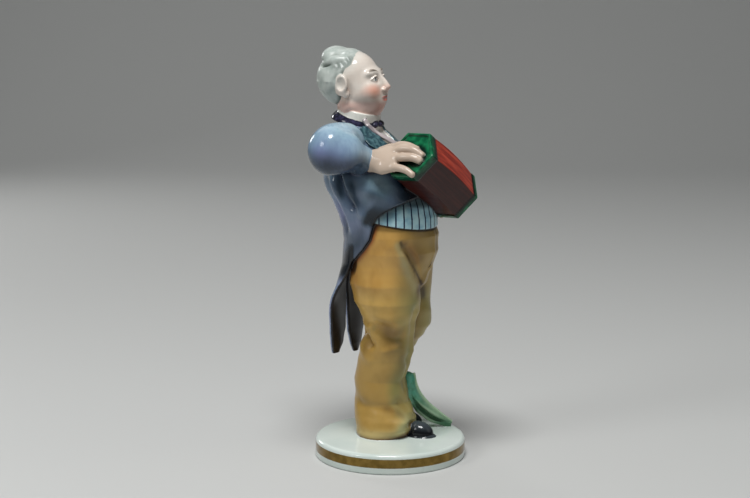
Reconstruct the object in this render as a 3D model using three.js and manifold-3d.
// Porcelain figurine: a stout man in a tail coat who plays a concertina, on a round base.
// Millimetres, +Z up, origin at the middle of the flat underside. He faces -Y and his right side is at -X.
import * as THREE from "three";
import { mergeVertices } from "three/addons/utils/BufferGeometryUtils.js";
import Module from "manifold-3d";

const wasm = await Module();
wasm.setup();

// Driving dimensions: the base, the figure's middle plane and its levels
const BASE_RADIUS = 37.5;
const BASE_HEIGHT = 9.8;
const BASE_ROUNDING = 2;
const MID = 5;
const HEAD_CENTRE = [MID, 21.5, 185.7];
const HEAD_TILT = -8;
const CUFF_LIP = 0.5;
const TAIL_THICKNESS = 2;
const LEAF_THICKNESS = 1.6;
const SINK = 1.6;
const WAISTCOAT_LIFT = -1;
const LAPEL_LIFT = 1.8;
const FAR_LAPEL_LIFT = 1.3;
const STRAP_LIFT = 2.2;
const FINEST_FOLD = 3.2;
const FINEST_SHARE = 0.12;

// Cross-sections of the clothed body: [height, centre x, centre y, half width, half depth]
const COAT = [
  [95, MID, 2.2, 24.3, 24.2],
  [109, MID, 1.2, 24.4, 24.4],
  [115, MID, 1.7, 24.6, 24.5],
  [121.5, MID, 3.2, 25, 25.2],
  [126.5, MID, 5, 25.4, 25.9],
  [133, MID, 8.4, 25.2, 26],
  [138, MID, 10, 25, 25.6],
  [143, MID, 11.6, 25.4, 24.6],
  [150, 4.6, 13.6, 25.4, 21.8],
  [157, 4, 18, 21, 15.2],
  [162, 4.4, 19.7, 15, 11.5],
  [166, MID, 20, 11, 9.5],
  [169, MID, 19.4, 9, 8.9],
];
const PELVIS = [
  [82, MID, 0.8, 15, 12],
  [88, MID, 0.8, 21, 17.5],
  [96, MID, 1, 22.3, 19.8],
  [104, MID, 0.9, 22.8, 22.5],
  [112, MID, 1.2, 22.8, 23],
  [121, MID, 3, 21.5, 21.8],
];
const RIGHT_LEG = [
  [8.6, 2, 3.8, 14.6, 12.8],
  [10.6, 2.2, 4, 16, 14],
  [14, 2.4, 3.2, 15.8, 15.2],
  [18, 2.6, 3.8, 15.2, 15.6],
  [21, 2.8, 4.8, 14.6, 15],
  [27, 3, 6, 13.6, 14.3],
  [38, 2.5, 6.4, 12.7, 13.5],
  [48, 2, 3.6, 12.8, 14.1],
  [53, 1.5, 2, 13, 14.2],
  [62, 1, 0.6, 13.2, 13.1],
  [68.5, 0, -0.5, 13.4, 13],
  [74, -1.2, -0.3, 14.4, 15.2],
  [79, -2, 0.8, 15.4, 16.8],
  [88, -3, 1.8, 15.8, 17.6],
  [96, -2.4, 1.7, 15.3, 17.8],
  [104, -1.2, 1.6, 15.8, 18.2],
  [111, 1, 1.6, 14, 17],
];
const LEFT_LEG = [
  [8.6, 18, 11.5, 9, 11],
  [10.6, 18, 11.5, 10.8, 12.8],
  [15, 18, 11.5, 11.4, 13.2],
  [25, 17.5, 12, 11, 12.4],
  [38, 17, 11.2, 10.8, 11.6],
  [50, 16, 7, 11.2, 11.4],
  [55.5, 15.6, 4.2, 11.4, 11.4],
  [59, 15.4, 1, 11.6, 11.6],
  [64, 15.2, -1.6, 11.6, 12],
  [71, 15.2, -1.4, 12, 12.4],
  [79, 15, -0.6, 12.8, 13.4],
  [88, 14, 0.2, 14, 15.4],
  [96, 13, 0.8, 14.8, 17],
  [104, 12.2, 1.2, 15.6, 18],
];

// Folds of the cloth: [angle, height, to angle, to height, width, depth]; 0 is +X, 90 the back, 180 -X
const PELVIS_FOLDS = [
  [222, 107, 252, 88, 2.6, -1.7],
  [206, 108, 240, 92, 3.4, 1],
  [268, 113, 271, 96, 1.1, 0.5],
  [271, 96, 262, 88, 1.2, 0.6],
  [318, 106, 288, 88, 2.6, -1.5],
  [60, 98, 120, 98, 4, -1],
];
const RIGHT_LEG_FOLDS = [
  [118, 63, 162, 58, 2.2, -2.6],
  [112, 57, 168, 49, 2.2, 0.7],
  [176, 67, 226, 61, 3.6, -2],
  [182, 72, 230, 69, 2.2, 0.9],
  [150, 77, 205, 76, 5, 0.4],
  [232, 68, 256, 50, 3, -1.1],
  [262, 74, 268, 34, 3, -1.6],
  [300, 70, 292, 30, 4, -1.4],
  [240, 27, 262, 17, 3, -1.5],
  [228, 16, 268, 22, 3, 1.2],
  [120, 30, 170, 22, 4, -0.9],
  [350, 80, 355, 26, 5, -1.2],
  [60, 62, 100, 58, 2.6, -1.4],
];
const LEFT_LEG_FOLDS = [
  [250, 72, 310, 66, 4, 1],
  [70, 62, 120, 55, 3, -1.6],
  [20, 66, 70, 62, 4, -1.4],
  [340, 50, 20, 40, 3.5, -1.2],
  [30, 30, 100, 22, 3.5, -1.1],
  [0, 20, 60, 16, 2.8, 0.9],
];
const COAT_FOLDS = [
  [160, 142, 166, 128, 2.4, -2.6],
  [172, 144, 175, 124, 1.9, 1.5],
  [150, 138, 152, 116, 2.4, 1],
  [139, 138, 144, 118, 3, -1.2],
  [196, 136, 216, 133, 6.4, 2.3],
  [60, 150, 75, 112, 3, -1.3],
  [105, 150, 112, 112, 3, -1.1],
  [85, 156, 88, 100, 2, -1],
  [20, 144, 30, 116, 3, -1.4],
  [0, 138, 330, 136, 5, 1],
];
// Folds of the sleeves: [angle, share of the length, to angle, to share, width, depth]
const UPPER_SLEEVE_FOLDS = [
  [60, 0.3, 130, 0.6, 0.16, -1],
  [240, 0.2, 300, 0.5, 0.16, -0.9],
];
const FOREARM_FOLDS = [
  [60, 0.3, 150, 0.6, 0.14, -1.1],
  [200, 0.4, 290, 0.7, 0.14, -1],
  [20, 0.65, 120, 0.85, 0.12, -0.7],
];

// The crease between the right thigh and the lap, from the hip down to where the legs part
const CREASE = [
  [-13.8, -12.6, 110.5],
  [-11.2, -15.1, 105.9],
  [-8.3, -16.9, 101.1],
  [-4.7, -17.9, 95.6],
  [0.2, -17, 90.3],
];
const CREASE_SIZES = [[0.8, 0.8], [2, 1.9], [2.5, 2.2], [2.3, 2], [1.2, 1.2]];

// The concertina: six-sided bellows, arched up a little between two end plates
const BOX_MIDDLE = [1.2, -22.3, 141.9];
const BOX_AXIS = [0.78, -0.242, -0.576];
const BOX_FORWARD = [-0.174, -0.98, 0.102];
const BOX_TURN = 6;
const BOX_LENGTH = 42;
const BELLOWS_RADIUS = 13.5;
const BELLOWS_BOW = 0.8;
const BELLOWS_SWELL = 0.5;
const PLATE_RADIUS = 13.9;
const NEAR_PLATE = 5;
const FAR_PLATE = 3.6;
const PLATE_BORDER = 1.8;
const PLATE_RIM = 0.8;

// Helpers
const UP = new THREE.Vector3(0, 0, 1);
const vec = (p) => new THREE.Vector3(...p);
const rad = THREE.MathUtils.degToRad;

function signedVolume(at, corners) {
  const [a, b, c] = [new THREE.Vector3(), new THREE.Vector3(), new THREE.Vector3()];
  let sum = 0;
  for (let i = 0; i < corners.length; i += 3) {
    a.fromBufferAttribute(at, corners[i]);
    b.fromBufferAttribute(at, corners[i + 1]);
    c.fromBufferAttribute(at, corners[i + 2]);
    sum += a.dot(b.cross(c));
  }
  return sum;
}

// A closed solid from a geometry whose shared vertices are each moved by place
function solid(geometry, place) {
  geometry.deleteAttribute("normal");
  geometry.deleteAttribute("uv");
  const merged = mergeVertices(geometry, 1e-5);
  const at = merged.attributes.position;
  const point = new THREE.Vector3();
  for (let i = 0; i < at.count; i += 1) {
    point.fromBufferAttribute(at, i);
    place(point);
    at.setXYZ(i, point.x, point.y, point.z);
  }
  const corners = Uint32Array.from(merged.index.array);
  if (signedVolume(at, corners) < 0) corners.reverse();
  const vertProperties = Float32Array.from(at.array);
  return new wasm.Manifold(new wasm.Mesh({ numProp: 3, vertProperties, triVerts: corners }));
}

const joined = (solids) => solids.reduce((sum, next) => sum.add(next));

// Smooth values between rows whose first number is the position
function rowAt(rows, at) {
  const last = rows.length - 1;
  let i = rows.findIndex((row) => row[0] >= at);
  i = THREE.MathUtils.clamp(i < 0 ? last : i, 1, last);
  const [p, q] = [rows[i - 1], rows[i]];
  const [before, after] = [rows[Math.max(i - 2, 0)], rows[Math.min(i + 1, last)]];
  const span = q[0] - p[0];
  const t = (at - p[0]) / span;
  return p.slice(1).map((value, k) => {
    const end = q[k + 1];
    const slopeIn = ((end - before[k + 1]) / (q[0] - before[0])) * span;
    const slopeOut = ((after[k + 1] - value) / (after[0] - p[0])) * span;
    const [tt, ttt] = [t * t, t * t * t];
    const keep = (2 * ttt - 3 * tt + 1) * value + (3 * tt - 2 * ttt) * end;
    return keep + (ttt - 2 * tt + t) * slopeIn + (ttt - tt) * slopeOut;
  });
}

// Height of the folds at a place (a, b); a turns once per round, and reach is a's length in the units of b.
// No fold is drawn narrower than finest, the spacing of the points that carry it.
function relief(folds, a, b, round, reach, finest) {
  return folds.reduce((sum, [a0, b0, a1, b1, width, depth]) => {
    const wrapped = a0 + ((((a - a0) % round) + 1.5 * round) % round) - round / 2;
    const [px, py] = [(wrapped - a0) * reach, b - b0];
    const [dx, dy] = [(a1 - a0) * reach, b1 - b0];
    const t = THREE.MathUtils.clamp((px * dx + py * dy) / (dx * dx + dy * dy), 0, 1);
    const away = Math.hypot(px - t * dx, py - t * dy) / Math.max(width, finest);
    return sum + depth * Math.exp(-away * away);
  }, 0);
}

// Point on a column's surface, at an angle in degrees and a height, raised by lift
function onColumn(rows, folds, degrees, z, lift) {
  const [cx, cy, rx, ry] = rowAt(rows, z);
  const out = lift + relief(folds, degrees, z, 360, (Math.PI / 360) * (rx + ry), FINEST_FOLD);
  const angle = rad(degrees);
  return new THREE.Vector3(cx + (rx + out) * Math.cos(angle), cy + (ry + out) * Math.sin(angle), z);
}

// An upright solid through rows of oval sections, with folds
function column(rows, around, along, folds = [], lift = 0) {
  const [low, high] = [rows[0][0], rows.at(-1)[0]];
  return solid(new THREE.CylinderGeometry(1, 1, 1, around, along), (v) => {
    const z = low + (v.y + 0.5) * (high - low);
    const [cx, cy] = rowAt(rows, z);
    if (Math.hypot(v.x, v.z) < 0.5) v.set(cx, cy, z);
    else v.copy(onColumn(rows, folds, THREE.MathUtils.radToDeg(Math.atan2(v.z, v.x)), z, lift));
  });
}

// A plate that lies on a column, its corners given as [angle, height], raised by lift
function patch(rows, corners, lift, across, along) {
  const [a, b, c, d] = corners;
  return solid(new THREE.BoxGeometry(1, 1, 1, across, along, 1), (v) => {
    const [s, t] = [v.x + 0.5, v.y + 0.5];
    const mixed = [0, 1].map((k) => {
      const near = THREE.MathUtils.lerp(a[k], b[k], s);
      const far = THREE.MathUtils.lerp(d[k], c[k], s);
      return THREE.MathUtils.lerp(near, far, t);
    });
    v.copy(onColumn(rows, [], mixed[0], mixed[1], v.z > 0 ? lift : -SINK));
  });
}

function blob(centre, radii, turn = [0, 0, 0], around = 16, along = 10) {
  const spin = new THREE.Euler(...turn.map(rad));
  return solid(new THREE.SphereGeometry(1, around, along), (v) => {
    v.multiply(vec(radii)).applyEuler(spin).add(vec(centre));
  });
}

// A limb with domed ends along a smooth path; each size is [half width, half height] at its point
function limb(points, sizes, around, along, { up = UP, dome = 0.8, caps = 2, folds = [] } = {}) {
  const path = new THREE.CatmullRomCurve3(points.map(vec), false, "catmullrom");
  const rows = sizes.map((size, i) => [i / (sizes.length - 1), ...size]);
  const rings = along + 2 * caps;
  return solid(new THREE.CylinderGeometry(1, 1, 1, around, rings), (v) => {
    const ring = Math.round((v.y + 0.5) * rings);
    const t = THREE.MathUtils.clamp((ring - caps) / along, 0, 1);
    const short = Math.max(caps - ring, ring - rings + caps, 0);
    const bend = (short / (caps + 0.6)) * (Math.PI / 2);
    const [wide, high] = rowAt(rows, t);
    const tangent = path.getTangent(t);
    const side = tangent.clone().cross(up).normalize();
    const top = side.clone().cross(tangent);
    const angle = THREE.MathUtils.radToDeg(Math.atan2(v.z, v.x));
    const swell = relief(folds, angle, t, 360, 1 / 360, FINEST_SHARE);
    const [x, y] = [v.x * Math.cos(bend) * (wide + swell), v.z * Math.cos(bend) * (high + swell)];
    const out = Math.sign(ring - rings / 2) * Math.sin(bend) * dome * Math.min(wide, high);
    v.copy(path.getPoint(t)).addScaledVector(tangent, out).addScaledVector(side, x).addScaledVector(top, y);
  });
}

// A thin curved plate: surface(u, v) gives its middle, for u and v from 0 to 1
function sheet(surface, thickness, across, along) {
  const small = 1e-3;
  return solid(new THREE.BoxGeometry(1, 1, 1, across, along, 1), (p) => {
    const [u, v] = [p.x + 0.5, p.y + 0.5];
    const middle = surface(u, v);
    const du = surface(u + small, v).sub(surface(u - small, v));
    const dv = surface(u, v + small).sub(surface(u, v - small));
    p.copy(middle.addScaledVector(du.cross(dv).normalize(), p.z * thickness));
  });
}

// An outline of [a, b] points, pulled straight between two distances along an axis, in a frame of its own
function prism(outline, depth, place) {
  const shape = new THREE.Shape(outline.map(([a, b]) => new THREE.Vector2(a, b)));
  return solid(new THREE.ExtrudeGeometry(shape, { depth, bevelEnabled: false, steps: 1 }), place);
}

// The round base: a low drum with rounded shoulders
function base() {
  const foot = BASE_ROUNDING / 2;
  const profile = [new THREE.Vector2(0, 0), new THREE.Vector2(BASE_RADIUS - foot, 0)];
  profile.push(new THREE.Vector2(BASE_RADIUS, foot));
  for (let i = 0; i <= 2; i += 1) {
    const turn = (i / 2) * (Math.PI / 2);
    const x = BASE_RADIUS - BASE_ROUNDING * (1 - Math.cos(turn));
    const y = BASE_HEIGHT - BASE_ROUNDING * (1 - Math.sin(turn));
    profile.push(new THREE.Vector2(x, y));
  }
  profile.push(new THREE.Vector2(0, BASE_HEIGHT));
  return solid(new THREE.LatheGeometry(profile, 36), (v) => v.set(v.x, -v.z, v.y));
}

// Pulls an outline of [y, z] points right across the figure, or one of [x, z] points through its front
const WIDER_THAN_FIGURE = 90;
const FRONT_DEPTH = 60;
const FRONT_FROM = -50;
const acrossFigure = (outline) =>
  prism(outline, WIDER_THAN_FIGURE, (v) => v.set(v.z - WIDER_THAN_FIGURE / 2 + MID, v.x, v.y));
const throughFront = (outline) => prism(outline, FRONT_DEPTH, (v) => v.set(v.x, v.z + FRONT_FROM, v.y));

// The coat's front edge as [y, z] points, from the tails up to the closed chest, moved along both by back
const frontEdge = (back) => [
  [17, 60], [16.6, 94], [13.4, 99.6], [6.6, 106.4], [2.6, 111.7], [1.2, 117.7],
  [-1, 122.3], [-5.4, 125.8], [-9.4, 128.1], [-16, 131.5], [-60, 133],
].map(([y, z]) => [y + back, z + back]);

// The open neck of the coat
const neckOpening = (wider) => [
  [MID, 143 - wider], [MID + 9 + wider, 160], [MID + 9 + wider, 180],
  [MID - 9 - wider, 180], [MID - 9 - wider, 160],
];

// The waistcoat's belly and the shirt, with a hem that rises towards the sides
function waistcoat() {
  const rows = [[112, MID, 1.4, 24.4, 24.2], ...COAT.filter(([z]) => z > 115)];
  const shown = acrossFigure([[-60, 60], ...frontEdge(2.5)]).add(throughFront(neckOpening(2)));
  const below = acrossFigure([[-60, 60], [60, 60], [60, 131.8], [-60, 107.8]]);
  return column(rows, 22, 10, [], WAISTCOAT_LIFT).intersect(shown).subtract(below);
}

// The trousers, with a crease that runs down beside the lap
function trousers() {
  const groove = limb(CREASE, CREASE_SIZES, 6, 5, { up: vec([-0.4, -0.9, 0]), caps: 1 });
  return joined([
    column(PELVIS, 22, 8, PELVIS_FOLDS),
    column(RIGHT_LEG, 18, 20, RIGHT_LEG_FOLDS),
    column(LEFT_LEG, 14, 16, LEFT_LEG_FOLDS),
  ]).subtract(groove);
}

function shoe(toe, centre) {
  const sole = blob([centre[0], centre[1], BASE_HEIGHT], [5.8, 8, 2.2], [0, 0, toe], 12, 4);
  const upper = blob([centre[0], centre[1] + 0.6, BASE_HEIGHT + 1.6], [5.4, 7.4, 5.6], [8, 0, toe], 10, 6);
  return sole.add(upper);
}

// The coat: its body without the front cutaway and the open neck, the two tails and the collar
function coatBody() {
  const cutaway = acrossFigure([[-60, 60], ...frontEdge(0)]);
  return column(COAT, 22, 12, COAT_FOLDS).subtract(cutaway).subtract(throughFront(neckOpening(0)));
}

// A tail's levels: [height, edge by the vent, front edge, y when it hangs free], the edges from the middle
const TAIL = [
  [107, 0.5, 19, 25.6],
  [96, 0.8, 20, 25.6],
  [84, 1.2, 19.4, 26.4],
  [72, 1.6, 18.6, 26.6],
  [62, 2.6, 17.4, 26.6],
  [55, 5.6, 15.6, 26.8],
  [51, 9, 13.4, 27.4],
].map(([z, ...rest]) => [-z, ...rest]);
const TAIL_FREE = [98, 74];

// A tail leaves the coat's surface at the hip and hangs free below, so its lining shows from the side
function tail(side, lift) {
  const [top, tip] = [TAIL[0][0], TAIL.at(-1)[0]];
  return sheet((u, v) => {
    const level = THREE.MathUtils.lerp(top, tip, v);
    const [vent, front, hanging] = rowAt(TAIL, level);
    const x = MID + side * THREE.MathUtils.lerp(vent, front, u);
    const [cx, cy, rx, ry] = rowAt(COAT, Math.max(-level, COAT[0][0]));
    const inside = Math.max(1 - ((x - cx) / rx) ** 2, 0.02);
    const inset = THREE.MathUtils.mapLinear(-level, COAT[0][0], -top, 0.9, 4);
    const worn = cy + (ry - inset) * Math.sqrt(inside);
    const free = 1 - THREE.MathUtils.smoothstep(-level, TAIL_FREE[1], TAIL_FREE[0]);
    const ripple = 0.6 * Math.sin(4 * u + 3 * v) * free;
    return new THREE.Vector3(x, THREE.MathUtils.lerp(worn, hanging, free) + ripple, -level + lift * v);
  }, TAIL_THICKNESS, 3, 9);
}

// The stand-up linen collar, the coat's collar that slopes down round it, and the bow tie
const COLLAR_RADIUS = 10.9;
const COLLAR_LEAN = 56;
const COLLAR_TILT = 14;

function collars() {
  const [lean, tilt] = [rad(COLLAR_LEAN), new THREE.Euler(rad(COLLAR_TILT), 0, 0)];
  const linen = solid(new THREE.CylinderGeometry(10.7, 10.9, 6.4, 16), (v) => {
    v.set(v.x, -v.z, v.y + 0.2).applyEuler(tilt).add(new THREE.Vector3(MID, 19.8, 169.2));
  });
  const fallen = solid(new THREE.TorusGeometry(COLLAR_RADIUS, 1, 6, 14), (v) => {
    const turn = Math.atan2(v.y, v.x);
    const bead = Math.atan2(v.z, Math.hypot(v.x, v.y) - COLLAR_RADIUS);
    const along = (2.5 + 0.3 * Math.sin(turn)) * Math.cos(bead);
    const across = Math.sin(bead);
    const out = COLLAR_RADIUS + along * Math.cos(lean) + across * Math.sin(lean);
    v.set(out * Math.cos(turn), out * Math.sin(turn), across * Math.cos(lean) - along * Math.sin(lean));
    v.applyEuler(tilt).add(new THREE.Vector3(MID, 20.8, 167.6));
  });
  const bow = [-1, 1].map((side) => {
    return blob([MID + side * 2.9, 9.2, 165.4], [2.8, 1.6, 1.7], [0, side * 14, 0], 7, 4);
  });
  const knot = blob([MID, 8.2, 165.2], [1.1, 1.4, 1.2], [0, 0, 0], 6, 4);
  return joined([linen, fallen, ...bow, knot]);
}

// The lapels and the concertina's strap, laid on the chest; the angles are measured from the figure's front
function onChest() {
  const front = (corners, side) => corners.map(([degrees, z]) => [270 + side * degrees, z]);
  const lapel = [[62, 163.6], [30, 165.4], [4.5, 151], [24, 150]];
  const strap = [[52, 167.8], [46, 168.5], [-19.5, 154.9], [-10, 154]];
  return joined([
    patch(COAT, front(lapel, -1), LAPEL_LIFT, 2, 4),
    patch(COAT, front(lapel, 1), FAR_LAPEL_LIFT, 2, 4),
    patch(COAT, front(strap, -1), STRAP_LIFT, 1, 5),
  ]);
}

// The two buttons at the back of the waist
const BUTTON = [1.6, 0.9, 1.6];
const BUTTON_HEIGHT = 114;
const BUTTON_TURN = 7;

function buttons() {
  return joined([-1, 1].map((side) => {
    const centre = onColumn(COAT, [], 90 + side * BUTTON_TURN, BUTTON_HEIGHT, 0.1);
    return blob(centre.toArray(), BUTTON, [0, 0, 0], 7, 4);
  }));
}

// A full sleeve with its cuff; the points are shoulder, upper arm, elbow, forearm and wrist
function sleeve(points, sizes) {
  const [upper, lower] = [points.slice(0, 3), points.slice(2)];
  const lean = vec([0.2, 0.3, 1]);
  const [elbow] = sizes.slice(2);
  const within = elbow.map((size) => size - 1.4);
  const [end, before] = [vec(points.at(-1)), vec(points.at(-2))];
  const axis = end.clone().sub(before).normalize();
  const rim = [-3, 1].map((along) => end.clone().addScaledVector(axis, along).toArray());
  const cuff = sizes.at(-1).map((size) => size + CUFF_LIP);
  return joined([
    limb(upper, [...sizes.slice(0, 2), within], 12, 3, { caps: 1, folds: UPPER_SLEEVE_FOLDS, up: lean }),
    limb(lower, sizes.slice(2), 14, 5, { dome: 1, folds: FOREARM_FOLDS, up: lean }),
    limb(rim, [cuff, cuff], 10, 1, { dome: 0.2, caps: 1 }),
  ]);
}

// A hand from its wrist: the way the fingers point, the way its back faces, and the way to the thumb
function hand(wrist, along, back, thumbSide) {
  const [y, z] = [vec(along).normalize(), vec(back)];
  const x = y.clone().cross(z).normalize().multiplyScalar(thumbSide);
  z.copy(x).cross(y).normalize().multiplyScalar(thumbSide);
  const at = ([a, b, c]) => {
    return vec(wrist).addScaledVector(x, a).addScaledVector(y, b).addScaledVector(z, c).toArray();
  };
  const finger = (root, knuckle, end, size) => {
    const sizes = [[size, size], [size, size], [size * 0.85, size * 0.8]];
    return limb([root, knuckle, end].map(at), sizes, 6, 2, { up: z, caps: 1 });
  };
  const palm = [[0, -6, 0], [-0.3, 0, 0], [-1, 6.5, 0.4], [-1, 12.5, 0]];
  const palmSizes = [[5, 4], [6, 4.2], [8, 3.8], [7.2, 2.6]];
  return joined([
    limb(palm.map(at), palmSizes, 8, 4, { up: z, dome: 0.6, caps: 1 }),
    finger([5, 9, 0.2], [5.9, 15.8, 0.8], [3.7, 22.4, -1.2], 1.85),
    finger([2.6, 10, 0.6], [3, 18.6, 1.2], [-0.2, 25.6, -1.2], 2.1),
    finger([-1, 10, 0.6], [-1.6, 19, 0.8], [-3.2, 25, -1.2], 2.05),
    finger([-5.4, 8.6, 0], [-7.2, 16.8, 0.3], [-10.6, 22.2, -1.2], 1.85),
    finger([6, 2, -1.6], [8, 9, -2.8], [7, 15.5, -3.4], 2),
  ]);
}

// The concertina: arched bellows between two end plates with a raised border
function concertina() {
  const axis = vec(BOX_AXIS).normalize();
  const across = vec(BOX_FORWARD).addScaledVector(axis, -vec(BOX_FORWARD).dot(axis)).normalize();
  across.applyAxisAngle(axis, rad(BOX_TURN));
  const third = axis.clone().cross(across);
  const upwards = UP.clone().addScaledVector(axis, -axis.z).normalize();
  const place = (v, along, a, b) => {
    v.copy(vec(BOX_MIDDLE)).addScaledVector(axis, along);
    v.addScaledVector(across, a).addScaledVector(third, b);
  };
  const block = (radius, from, depth) => {
    const turns = [0, 60, 120, 180, 240, 300].map(rad);
    const corners = turns.map((turn) => [radius * Math.cos(turn), radius * Math.sin(turn)]);
    return prism(corners, depth, (v) => place(v, from + v.z, v.x, v.y));
  };
  const half = BOX_LENGTH / 2;
  const ends = [block(PLATE_RADIUS, -half, NEAR_PLATE), block(PLATE_RADIUS, half - FAR_PLATE, FAR_PLATE)];
  const hollows = [-half - 1, half - PLATE_RIM].map((from) => {
    return block(PLATE_RADIUS - PLATE_BORDER, from, 1 + PLATE_RIM);
  });
  const bellows = solid(new THREE.CylinderGeometry(1, 1, 1, 6, 6), (v) => {
    const share = 2 * v.y;
    const arch = 1 - share * share;
    const radius = BELLOWS_RADIUS + BELLOWS_SWELL * arch;
    place(v, share * (half - FAR_PLATE + 1), radius * v.z, radius * v.x);
    v.addScaledVector(upwards, BELLOWS_BOW * arch);
  });
  return hollows.reduce((sum, hollow) => sum.subtract(hollow), joined([bellows, ...ends]));
}

// The head, in a frame of its own: +Z to the crown, -Y out of the face, tilted back about its centre
const headTurn = new THREE.Euler(rad(HEAD_TILT), 0, 0);
const inHead = (p) => vec(p).applyEuler(headTurn).add(vec(HEAD_CENTRE)).toArray();
const headBlob = (centre, radii, turn = [0, 0, 0], around = 12, along = 8) =>
  blob(inHead(centre), radii, [turn[0] + HEAD_TILT, turn[1], turn[2]], around, along);
const headLimb = (points, sizes, around, along, more) => {
  return limb(points.map(inHead), sizes, around, along, more);
};

// The neck, skull, jaw, cheeks, chin and brow, then the eye sockets, nose, lips, eyes and ears
function face() {
  const neck = [[MID, 19.4, 162], [MID, 20.4, 171], [MID, 21.8, 180]];
  const bridge = [[0, -12.4, 2.8], [0, -15.4, -1.6], [0, -17.2, -4.8]];
  const jaw = [[-8, 2, -11], [0, -7.5, -14.2], [8, 2, -11]];
  const sockets = [];
  const parts = [
    headBlob([0, 3, 3], [12.8, 15, 13.2], [0, 0, 0], 14, 9),
    headBlob([0, -3.2, -4.6], [11.2, 12, 11], [0, 0, 0], 12, 7),
    headBlob([0, -8.6, -11.6], [5.4, 5.4, 4.2], [0, 0, 0], 8, 5),
    headBlob([0, -10.8, 3.3], [8, 2.8, 2.2], [0, 0, 0], 8, 4),
    limb(neck, [[9.6, 9.6], [9.6, 9.8], [9.2, 9.6]], 14, 2, { dome: 0.2, caps: 1 }),
    headLimb(jaw, [[4, 3.6], [4.4, 3.6], [4, 3.6]], 8, 4, { caps: 1 }),
  ];
  for (const side of [-1, 1]) {
    parts.push(headBlob([side * 5.4, -10, -5.6], [4.2, 3.8, 4], [0, 0, 0], 8, 5));
    sockets.push(headBlob([side * 4.5, -15, 0.3], [2.9, 3, 2.1], [0, 0, 0], 7, 4));
  }
  const details = [
    headLimb(bridge, [[1.3, 1.4], [1.5, 1.6], [2, 1.6]], 8, 2, { dome: 0.5, caps: 1 }),
    headBlob([0, -14, -8.6], [3.4, 1.7, 1], [0, 0, 0], 8, 4),
    headBlob([0, -13.8, -10.2], [2.9, 1.7, 1.1], [0, 0, 0], 8, 4),
  ];
  for (const side of [-1, 1]) {
    details.push(headBlob([side * 4.4, -11.3, 0.2], [2.3, 1.9, 1.6], [0, 0, 0], 7, 4));
    details.push(headBlob([side * 2, -15.2, -5.4], [1.4, 1.7, 1.2], [0, 0, 0], 6, 3));
    details.push(headBlob([side * 13, 1.8, -0.4], [1.9, 4.4, 5.4], [12, 0, side * 18], 8, 6));
  }
  return joined(parts).subtract(joined(sockets)).add(joined(details));
}

// The mass of hair round the back and sides of the head, as half sizes about its centre
const HAIR_CENTRE = [0, 6.9, 1.4];
const HAIR_RADII = [13.9, 9.9, 12];
const LOCKS = 7;
const LOCK_SPREAD = 78;
const LOCK_SWAY = 5;
const LOCK_INSET = 0.8;
const ROLL_INSET = 0.84;
const ROLL_DOWN = 62;

// A place on the hair: degrees down from the crown and round from the back, scaled about the hair's centre
function onHair(down, round, scale) {
  const [p, a] = [rad(down), rad(round)];
  const unit = [Math.sin(p) * Math.sin(a), Math.sin(p) * Math.cos(a), Math.cos(p)];
  return unit.map((value, k) => HAIR_CENTRE[k] + value * HAIR_RADII[k] * scale);
}

// Wavy locks under a roll round the back of the head, with a high wave over the crown
function hair() {
  const cap = solid(new THREE.SphereGeometry(1, 14, 8), (v) => {
    const place = vec(HAIR_CENTRE).add(new THREE.Vector3(v.x, -v.z, v.y).multiply(vec(HAIR_RADII)));
    v.set(...inHead(place.toArray()));
  });
  const lock = (round, sway) => {
    const points = [60, 86, 113, 140].map((down, i) => {
      return onHair(down, round + (i % 2 ? sway : -sway), LOCK_INSET);
    });
    return headLimb(points, [[3, 2.2], [3.8, 2.9], [3.4, 2.6], [2.2, 1.6]], 6, 3, { dome: 0.5, caps: 1 });
  };
  const rounds = Array.from({ length: LOCKS }, (_, i) => LOCK_SPREAD * ((2 * i) / (LOCKS - 1) - 1));
  const roll = [-104, -65, -26, 26, 65, 104].map((round) => onHair(ROLL_DOWN, round, ROLL_INSET));
  const thick = [[2, 2.4], [3, 3.4], [3, 3.4], [3, 3.4], [3, 3.4], [2, 2.4]];
  return joined([
    cap,
    ...rounds.map((round, i) => lock(round, i % 2 ? LOCK_SWAY : -LOCK_SWAY)),
    headLimb(roll, thick, 8, 9, { caps: 1 }),
    headBlob([0, 9, 13.6], [9.4, 6.6, 5.4], [0, 0, 0], 12, 7),
    headBlob([0, 3.2, 14.6], [8, 5.6, 2.4], [0, 0, 0], 10, 5),
  ]);
}

// Long blades that rise as one clump beside the legs: middle line, half widths and facing
const BLADES = [
  {
    line: [
      [13.2, -5.4, 38.5], [13.1, -7.1, 30.9], [17.2, -10.6, 23.3], [21.6, -15.7, 17.5], [28.7, -21, 11.3],
    ],
    halves: [1.8, 2.3, 2, 1.6, 0.7],
    facing: [-0.8, -0.45, 0.4],
  },
  {
    line: [[14.1, -5.6, 26.8], [17.3, -8.1, 20], [21.6, -13.4, 14.3], [26.5, -21.4, 10.4]],
    halves: [1.6, 2, 1.6, 0.6],
    facing: [-0.5, -0.5, 0.7],
  },
  {
    line: [[20, 2, 32], [26, -4, 24], [30, -8, 15], [32, -11, 10.6]],
    halves: [2.4, 3.2, 2.8, 0.8],
    facing: [0.7, -0.4, 0.5],
  },
];
const STEM = [[12.2, -3, 8.6], [12.2, -3, 24], [12.6, -4, 38]];
const STEM_SIZES = [[4, 4], [3.4, 3.4], [2.4, 2.4]];

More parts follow.
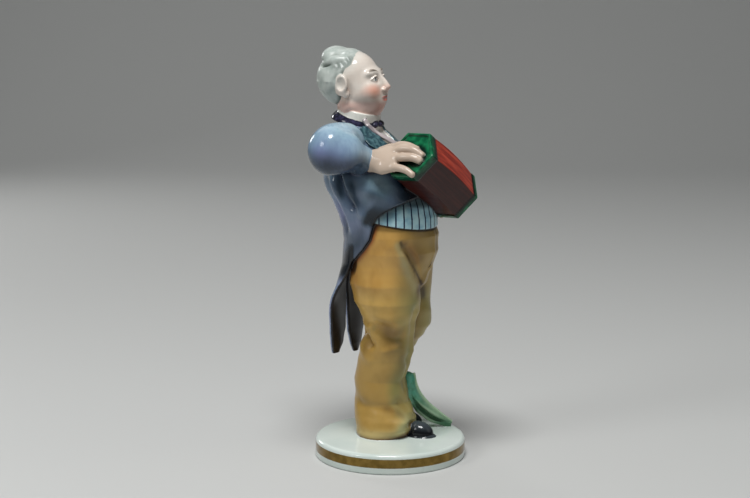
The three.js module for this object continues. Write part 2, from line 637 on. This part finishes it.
function leaves() {
  const blade = ({ line, halves, facing }) => {
    const path = new THREE.CatmullRomCurve3(line.map(vec), false, "catmullrom");
    const rows = halves.map((half, i) => [i / (halves.length - 1), half]);
    return sheet((u, v) => {
      const t = THREE.MathUtils.clamp(v, 0, 1);
      const across = 2 * u - 1;
      const wide = path.getTangent(t).cross(vec(facing)).normalize();
      const crease = 0.9 * (1 - Math.abs(across));
      const [half] = rowAt(rows, t);
      return path.getPoint(t).addScaledVector(wide, across * half).addScaledVector(vec(facing), -crease);
    }, LEAF_THICKNESS, 2, 5);
  };
  return joined([
    ...BLADES.map(blade),
    limb(STEM, STEM_SIZES, 8, 2, { caps: 1, up: vec([0, -1, 0]) }),
  ]);
}

// The corners of the largest connected skin, without the specks left between parts that overlap
function outerSkin(corners, points) {
  const parent = Array.from({ length: points }, (_, i) => i);
  const root = (i) => {
    let at = i;
    while (parent[at] !== at) at = parent[at];
    parent[i] = at;
    return at;
  };
  for (let i = 0; i < corners.length; i += 3) {
    parent[root(corners[i + 1])] = root(corners[i]);
    parent[root(corners[i + 2])] = root(corners[i]);
  }
  const size = new Map();
  corners.forEach((corner) => size.set(root(corner), (size.get(root(corner)) ?? 0) + 1));
  const largest = [...size].reduce((best, next) => (next[1] > best[1] ? next : best))[0];
  return Array.from(corners).filter((_, i) => root(corners[i - (i % 3)]) === largest);
}

// The sleeves' points and sizes, then where each wrist is and how its hand lies
const RIGHT_ARM = [
  [-13, 18, 157.6], [-22, 18.8, 157.8], [-28.4, 17.4, 155.2], [-26, 10.8, 153.6], [-18.6, 7.2, 150.2],
];
const RIGHT_ARM_SIZES = [[10, 10], [11.6, 11.6], [12.1, 12.2], [10.7, 10.9], [6.7, 6.9]];
const LEFT_ARM = [
  [18, 19, 151.5], [27, 19.5, 147.5], [34, 15, 143.6], [35, 3, 140.4], [29.6, -10.6, 137.8],
];
const LEFT_ARM_SIZES = [[9, 9], [10.4, 10.4], [11.2, 11.2], [9.2, 9.2], [6.2, 6.2]];
const RIGHT_HAND = [[-17, 1, 150.4], [-0.04, -0.984, 0.176], [-0.78, 0.242, 0.576]];
const LEFT_HAND = [[29.4, -12.4, 137.6], [-0.5, -0.715, -0.46], [0.78, -0.242, -0.576]];

function figurine() {
  const all = [
    base(),
    trousers(),
    shoe(0, [4.6, -14.6]),
    shoe(10, [20, -1.6]),
    waistcoat(),
    coatBody(),
    tail(-1, 0),
    tail(1, -3.5),
    collars(),
    onChest(),
    buttons(),
    sleeve(RIGHT_ARM, RIGHT_ARM_SIZES),
    sleeve(LEFT_ARM, LEFT_ARM_SIZES),
    hand(...RIGHT_HAND, -1),
    hand(...LEFT_HAND, 1),
    concertina(),
    face(),
    hair(),
    leaves(),
  ];
  const { vertProperties, triVerts } = joined(all).getMesh();
  const geometry = new THREE.BufferGeometry();
  geometry.setAttribute("position", new THREE.BufferAttribute(vertProperties, 3));
  geometry.setIndex(outerSkin(triVerts, vertProperties.length / 3));
  geometry.computeVertexNormals();
  const glaze = new THREE.MeshStandardMaterial({ color: 0xe9e7e0, roughness: 0.12, metalness: 0 });
  const mesh = new THREE.Mesh(geometry, glaze);
  mesh.name = "figurine";
  return mesh;
}

const group = new THREE.Group();
group.add(figurine());
export default group;
